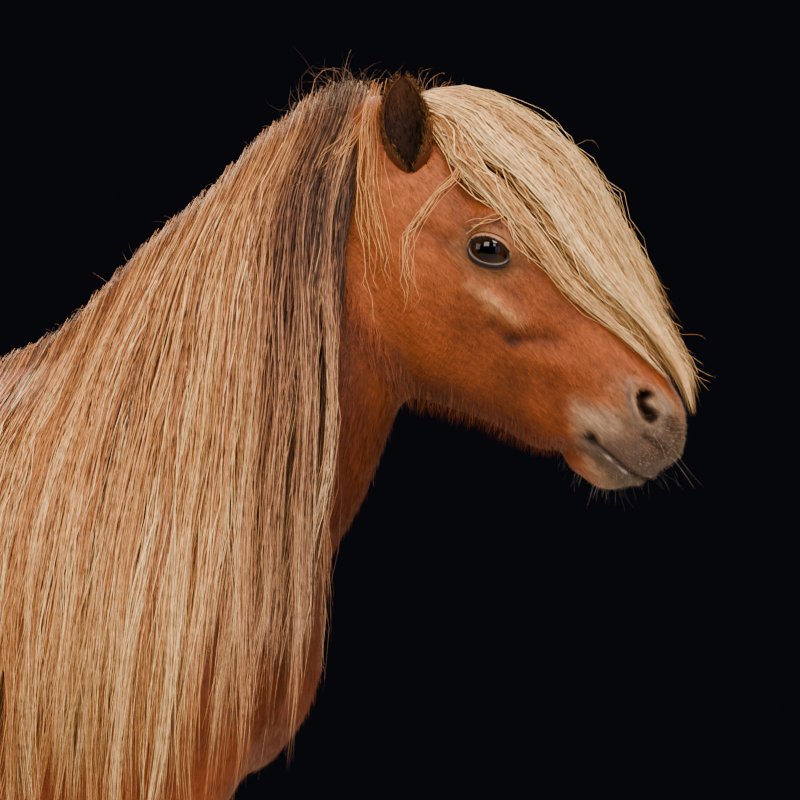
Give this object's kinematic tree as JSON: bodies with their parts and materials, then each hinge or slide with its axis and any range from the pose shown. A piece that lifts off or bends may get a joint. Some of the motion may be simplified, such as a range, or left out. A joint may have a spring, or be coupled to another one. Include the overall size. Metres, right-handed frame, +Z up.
{
  "type": "shetland pony",
  "caption": "Standing Shetland pony with a chestnut coat, a thick flaxen mane, forelock and tail, and short feathered legs; a still display model.",
  "frame": {"origin": "middle of the bounding box at its bottom, on the floor between the four hooves", "axes": "+X the way the pony faces, +Y its left side, +Z up"},
  "size_m": [1.4427, 0.4421, 1.204],
  "materials": {
    "coat": "short chestnut hair, satin",
    "flaxen_hair": "long coarse flaxen hair, soft sheen",
    "ear": "short dark brown hair, matte",
    "eye": "wet and glossy, very dark brown",
    "hoof_horn": "ridged dark horn, satin"
  },
  "bodies": {
    "root": {"torso": "coat", "neck": "flaxen_hair", "head": "coat", "tail": "flaxen_hair", "ear_right": "ear", "eye_right": "eye", "foreleg_right_upper": "coat", "foreleg_right_lower": "coat", "forehoof_right": "hoof_horn", "hindleg_right_upper": "coat", "hindleg_right_lower": "coat", "hindhoof_right": "hoof_horn", "ear_left": "ear", "eye_left": "eye", "foreleg_left_upper": "coat", "foreleg_left_lower": "coat", "forehoof_left": "hoof_horn", "hindleg_left_upper": "coat", "hindleg_left_lower": "coat", "hindhoof_left": "hoof_horn"}
  },
  "joints": []
}
